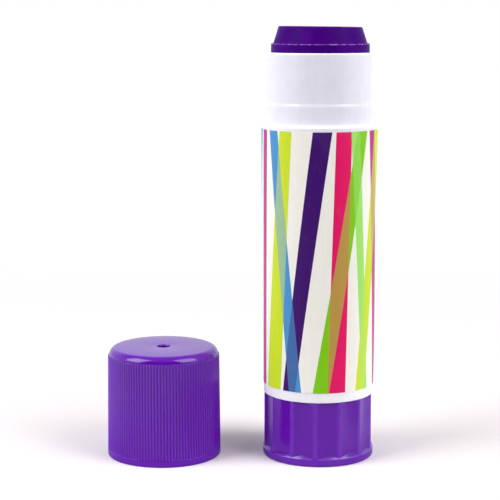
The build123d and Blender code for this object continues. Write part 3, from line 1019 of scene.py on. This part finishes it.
def white_plastic(name, base, roughness):
    """Smooth white plastic with faint flow lines, with painted highlights on its crests."""
    material, tree, shader, where = new_material(name)
    palest = 0.97
    # Painted highlight: the crests take a paler white, no paler than the palest
    pale = [min(part, palest) for part in toned(base, 1.3)]
    lit = mixed_colour(tree, point_value(tree, "highlight_and_wear"), base, pale)
    finish_surface(
        tree, shader, where, lit, toned(base, 0.96), roughness, grain=3500.0, flow=0.05, bump=0.1, wear=0.15
    )
    set_inputs(shader, Subsurface_Weight=0.12, Subsurface_Radius=(1.0, 0.9, 0.8), Subsurface_Scale=0.0008)
    return material


def glue_wax(name, base, roughness):
    """Waxy cast glue: dark, a little see-through, clouded, with pale crumbs on its edges that also stand in
    for painted highlights.
    """
    material, tree, shader, where = new_material(name)
    crumb_and_highlight_colour = (0.34, 0.17, 0.52)
    # Pale crumbs on the ledge's edge, which also serve as painted highlights there
    crumbs = mapped(tree, noise(tree, where, 900.0, 3.0), 0.4, 0.62, 0.1, 0.85)
    edge_crumbs_and_highlights = maths(tree, "MULTIPLY", crumbs, point_value(tree, "highlight_and_wear"))
    cloud = mapped(tree, noise(tree, where, 260.0, 5.0), 0.35, 0.75, 0.0, 0.8)
    clouded = mixed_colour(tree, cloud, base, toned(base, 1.4, 0.001))
    cast = mixed_colour(tree, edge_crumbs_and_highlights, clouded, crumb_and_highlight_colour)
    finish_surface(
        tree, shader, where, cast, toned(base, 1.5, 0.003), roughness,
        grain=1800.0, flow=0.1, bump=0.3, wear=0.2, gloss_spread=0.06,
    )
    set_inputs(
        shader, Specular_IOR_Level=0.02,
        Subsurface_Weight=0.1, Subsurface_Radius=(0.5, 0.05, 1.0), Subsurface_Scale=0.0006,
    )
    return material


# Stripes of the wrap: ink, middle at the foot and at the top as shares of the girth from the back's left,
# and width at the foot and at the top as shares of the girth. The front of the barrel is at 0.5.
stripe_shares = [
    ("green", 0.035, 0.075, 0.050, 0.034),
    ("violet", 0.115, 0.055, 0.040, 0.044),
    ("lime", 0.130, 0.160, 0.044, 0.050),
    ("pink", 0.225, 0.190, 0.046, 0.038),
    ("blue", 0.195, 0.265, 0.034, 0.036),
    ("magenta", 0.285, 0.305, 0.030, 0.026),
    ("lime", 0.345, 0.395, 0.062, 0.040),
    ("blue", 0.425, 0.350, 0.038, 0.034),
    ("violet", 0.405, 0.500, 0.040, 0.052),
    ("pink", 0.545, 0.560, 0.054, 0.046),
    ("green", 0.500, 0.620, 0.046, 0.038),
    ("mint", 0.645, 0.595, 0.026, 0.030),
    ("lime", 0.625, 0.700, 0.036, 0.044),
    ("magenta", 0.720, 0.665, 0.034, 0.030),
    ("violet", 0.745, 0.765, 0.042, 0.036),
    ("blue", 0.830, 0.800, 0.040, 0.036),
    ("green", 0.800, 0.880, 0.040, 0.050),
    ("pink", 0.930, 0.905, 0.050, 0.042),
    ("lime", 0.965, 0.980, 0.034, 0.030),
]


def printed_wrap(name, sizes, girth, roughness):
    """Printed wrap: straight slanted stripes on an off-white ground, under a smooth film."""
    material, tree, shader, where = new_material(name)
    wrap = node(tree, "ShaderNodeUVMap", uv_map="wrap").outputs[0]
    across, up, _ = node(tree, "ShaderNodeSeparateXYZ", {"Vector": wrap}).outputs
    softness = sizes.print_softness / girth
    surface, covered = sizes.ground, 0.0
    for ink, foot, top, foot_width, top_width in stripe_shares:
        stripe = grouped(tree, slanted_stripe, {
            "Across": across, "Up": up, "Foot": foot, "Top": top, "Foot Width": foot_width,
            "Top Width": top_width, "Softness": softness, "Overprint": sizes.overprint,
            "Ink": getattr(sizes, ink), "Ground": surface, "Covered": covered,
        })
        surface, covered = stripe["Colour"], stripe["Covered"]
    finish_surface(
        tree, shader, where, surface, sizes.ground, roughness, grain=6000.0, flow=0.05, bump=0.12, wear=0.015
    )
    set_inputs(shader, Specular_IOR_Level=0.2)
    return material


# Operators


def settings():
    """The glue stick's settings in this scene."""
    return bpy.context.scene.glue_stick


def place_piece(piece, body, node_name, material):
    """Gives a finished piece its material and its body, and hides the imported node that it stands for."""
    piece.data.materials.append(material)
    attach(piece, body)
    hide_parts(node_name)


class GLUESTICK_OT_cap(bpy.types.Operator):
    """Makes the ribbed violet cap"""

    bl_idname = "gluestick.cap"
    bl_label = "Cap"

    def execute(self, context):
        finish = settings().finish
        gloss = finish.violet_roughness
        material = violet_plastic("cap_plastic", finish.cap_colour, finish.cap_crest, gloss)
        place_piece(cap_piece(settings().cap), "cap", "cap", material)
        return {"FINISHED"}


class GLUESTICK_OT_knob(bpy.types.Operator):
    """Makes the fluted turning knob"""

    bl_idname = "gluestick.knob"
    bl_label = "Turning Knob"

    def execute(self, context):
        finish = settings().finish
        gloss = finish.violet_roughness
        material = violet_plastic("knob_plastic", finish.knob_colour, finish.knob_crest, gloss)
        piece = knob_piece(settings().knob, settings().barrel)
        place_piece(piece, "knob", "turning_knob", material)
        return {"FINISHED"}


class GLUESTICK_OT_barrel(bpy.types.Operator):
    """Makes the white barrel with its neck"""

    bl_idname = "gluestick.barrel"
    bl_label = "Barrel"

    def execute(self, context):
        finish = settings().finish
        material = white_plastic("barrel_plastic", finish.white_colour, finish.white_roughness)
        place_piece(barrel_piece(settings().barrel), "barrel", "barrel", material)
        return {"FINISHED"}


class GLUESTICK_OT_label(bpy.types.Operator):
    """Makes the printed wrap"""

    bl_idname = "gluestick.label"
    bl_label = "Label"

    def execute(self, context):
        piece, girth = label_piece(settings().label, settings().barrel)
        material = printed_wrap("label_print", settings().label, girth, settings().finish.label_roughness)
        place_piece(piece, "barrel", "label", material)
        return {"FINISHED"}


class GLUESTICK_OT_glue(bpy.types.Operator):
    """Makes the violet glue with its moulded tip"""

    bl_idname = "gluestick.glue"
    bl_label = "Glue"

    def execute(self, context):
        finish = settings().finish
        material = glue_wax("glue_wax", finish.glue_colour, finish.glue_roughness)
        piece = glue_piece(settings().glue, settings().barrel)
        place_piece(piece, "carrier", "glue", material)
        return {"FINISHED"}


class GLUESTICK_OT_inner_parts(bpy.types.Operator):
    """Finishes the spindle and the carrier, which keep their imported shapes"""

    bl_idname = "gluestick.inner_parts"
    bl_label = "Inner Parts"

    def execute(self, context):
        finish = settings().finish
        material = white_plastic("inner_plastic", finish.inner_colour, finish.inner_roughness)
        for name in ("spindle", "carrier"):
            part = frame["nodes"][name]
            part.data.materials.clear()
            part.data.materials.append(material)
        return {"FINISHED"}


class GLUESTICK_OT_stage(bpy.types.Operator):
    """Makes the floor, the surroundings, the lamps and the camera"""

    bl_idname = "gluestick.stage"
    bl_label = "Stage"

    def execute(self, context):
        stage = settings().stage
        make_floor(stage)
        make_surroundings(stage)
        make_lamp("left_soft_box", stage.left_lamp_way, stage.left_lamp_power, stage)
        make_lamp("right_soft_box", stage.right_lamp_way, stage.right_lamp_power, stage)
        make_camera(stage)
        context.scene.view_settings.view_transform = "Standard"
        return {"FINISHED"}


def make_floor(stage):
    """Pale floor that keeps the object's shadow, and is white to the camera in front and far away.

    In front, it is grey to every other ray. In the object's gloss it is grey all over, but on the right
    only towards the front, and it is white far away and beyond the object's left end.
    """
    # Shares of the table edge's distance at which the greys in front and the paler right begin
    front_begins, gloss_begins, right_begins = 0.6, 0.3, 0.2
    least_grey = 0.3
    half, front, back = stage.floor_size / 2, -stage.floor_front, stage.floor_size
    mesh = bpy.data.meshes.new("floor")
    corners = [(-half, front, 0), (half, front, 0), (half, back, 0), (-half, back, 0)]
    mesh.from_pydata(corners, [], [(0, 1, 2, 3)])
    floor = placed_object("floor", mesh)
    material = bpy.data.materials.new("floor_paper")
    tree = empty_tree(material)
    where = tree.nodes.new("ShaderNodeTexCoord").outputs["Object"]
    sideways, forward, _ = node(tree, "ShaderNodeSeparateXYZ", {"Vector": where}).outputs
    rays = tree.nodes.new("ShaderNodeLightPath").outputs
    seen = rays["Is Camera Ray"]
    shiny = maths(tree, "MAXIMUM", rays["Is Glossy Ray"], rays["Is Transmission Ray"])
    middle = (cad_box[0] + cad_box[1]) / 2
    apart = node(tree, "ShaderNodeVectorMath", {0: where, 1: (middle.x, 0, 0)}, operation="DISTANCE")
    far = mapped(tree, apart.outputs["Value"], stage.floor_near, stage.floor_far)
    far = maths(tree, "MULTIPLY", far, maths(tree, "MAXIMUM", seen, shiny))
    left_off = mapped(tree, sideways, cad_box[0].x, cad_box[0].x - stage.floor_near / 2)
    backdrop = maths(tree, "MAXIMUM", far, maths(tree, "MULTIPLY", left_off, shiny))
    edge = stage.table_edge
    ahead = mapped(tree, forward, -front_begins * edge, -edge)
    in_front = mapped(tree, forward, -gloss_begins * edge, -edge, least_grey, 1.0)
    on_right = mapped(tree, sideways, right_begins * edge, edge)
    glossed = maths(tree, "MULTIPLY", blended(tree, on_right, 1.0, in_front), rays["Is Glossy Ray"])
    unseen = maths(tree, "MULTIPLY", ahead, maths(tree, "SUBTRACT", 1.0, seen))
    tone = mixed_colour(tree, maths(tree, "MAXIMUM", unseen, glossed), stage.floor_colour, stage.table_colour)
    paper = node(tree, "ShaderNodeBsdfDiffuse", {"Color": tone})
    white = node(tree, "ShaderNodeEmission", {"Strength": 1.0})
    share_white = maths(tree, "MAXIMUM", backdrop, maths(tree, "MULTIPLY", ahead, seen))
    both = node(tree, "ShaderNodeMixShader", {0: share_white, 1: paper.outputs[0], 2: white.outputs[0]})
    node(tree, "ShaderNodeOutputMaterial", {0: both.outputs[0]})
    mesh.materials.append(material)


def make_surroundings(stage):
    """Surroundings that are white for the camera, and light the object from its sides, its back and above.

    The strength goes by the direction's angle from the front, and near the top by its height.
    """
    sides_begin, sides_full = math.radians(40), math.radians(60)
    back_begins, back_full = math.radians(120), math.radians(140)
    top_begins, top_full = 0.5, 0.7
    world = bpy.data.worlds.new("surroundings")
    bpy.context.scene.world = world
    tree = empty_tree(world)
    way = tree.nodes.new("ShaderNodeTexCoord").outputs["Generated"]
    across, deep, up = node(tree, "ShaderNodeSeparateXYZ", {"Vector": way}).outputs
    turn = maths(tree, "ABSOLUTE", maths(tree, "ARCTAN2", across, maths(tree, "MULTIPLY", deep, -1.0)))
    level = blended(tree, maths(tree, "GREATER_THAN", across, 0.0), stage.left_light, stage.right_light)
    level = blended(tree, mapped(tree, turn, sides_begin, sides_full), stage.front_light, level)
    level = blended(tree, mapped(tree, turn, back_begins, back_full), level, stage.back_light)
    level = blended(tree, mapped(tree, up, top_begins, top_full), level, stage.top_light)
    light = node(tree, "ShaderNodeBackground", {"Color": (1, 1, 1), "Strength": level})
    plain = node(tree, "ShaderNodeBackground", {"Color": (1, 1, 1), "Strength": 1.0})
    seen = tree.nodes.new("ShaderNodeLightPath").outputs["Is Camera Ray"]
    choice = node(tree, "ShaderNodeMixShader", {0: seen, 1: light.outputs[0], 2: plain.outputs[0]})
    node(tree, "ShaderNodeOutputWorld", {0: choice.outputs[0]})


def make_lamp(name, way, power, stage):
    """Soft box at a distance along its way from the middle of the object, facing the object."""
    low, high = cad_box
    lamp = bpy.data.lights.new(name, "AREA")
    lamp.shape = "RECTANGLE"
    lamp.size = stage.lamp_width
    lamp.size_y = stage.lamp_height
    lamp.energy = power
    direction = way.normalized()
    box = placed_object(name, lamp)
    box.location = (low + high) / 2 + direction * stage.lamp_distance
    box.rotation_euler = direction.to_track_quat("Z", "Y").to_euler()
    box.visible_camera = False


def make_camera(stage):
    """Camera with the photograph's view."""
    lens = bpy.data.cameras.new("camera")
    lens.lens = stage.camera_lens
    lens.shift_y = stage.camera_shift
    lens.clip_start = 0.01
    camera = placed_object("camera", lens)
    camera.location = stage.camera_place
    camera.rotation_euler = (math.pi / 2 - stage.camera_dip, 0, -stage.camera_yaw)
    bpy.context.scene.camera = camera


making_order = (
    GLUESTICK_OT_cap,
    GLUESTICK_OT_knob,
    GLUESTICK_OT_barrel,
    GLUESTICK_OT_label,
    GLUESTICK_OT_glue,
    GLUESTICK_OT_inner_parts,
    GLUESTICK_OT_stage,
)


class GLUESTICK_PT_sidebar(bpy.types.Panel):
    """Lists the pieces and their settings"""

    bl_idname = "GLUESTICK_PT_sidebar"
    bl_label = "Glue Stick"
    bl_space_type = "VIEW_3D"
    bl_region_type = "UI"
    bl_category = "Glue Stick"

    def draw(self, context):
        for operator in making_order:
            self.layout.operator(operator.bl_idname)
        for title in ("cap", "knob", "barrel", "label", "glue", "finish", "stage"):
            column = self.layout.column(heading=title.capitalize())
            group = getattr(settings(), title)
            for name in group.bl_rna.properties.keys():
                if name not in ("rna_type", "name"):
                    column.prop(group, name)


setting_groups = (
    CapSettings,
    KnobSettings,
    BarrelSettings,
    LabelSettings,
    GlueSettings,
    FinishSettings,
    StageSettings,
    GlueStickSettings,
)


def register():
    """Registers the settings, the operators and the panel."""
    for group in (*setting_groups, *making_order, GLUESTICK_PT_sidebar):
        bpy.utils.register_class(group)
    bpy.types.Scene.glue_stick = bpy.props.PointerProperty(type=GlueStickSettings)


def unregister():
    """Takes them away again."""
    del bpy.types.Scene.glue_stick
    for group in reversed((*setting_groups, *making_order, GLUESTICK_PT_sidebar)):
        bpy.utils.unregister_class(group)


def main():
    """Makes every piece and the stage."""
    register()
    bpy.ops.gluestick.cap()
    bpy.ops.gluestick.knob()
    bpy.ops.gluestick.barrel()
    bpy.ops.gluestick.label()
    bpy.ops.gluestick.glue()
    bpy.ops.gluestick.inner_parts()
    bpy.ops.gluestick.stage()


if __name__ == "__main__":
    main()
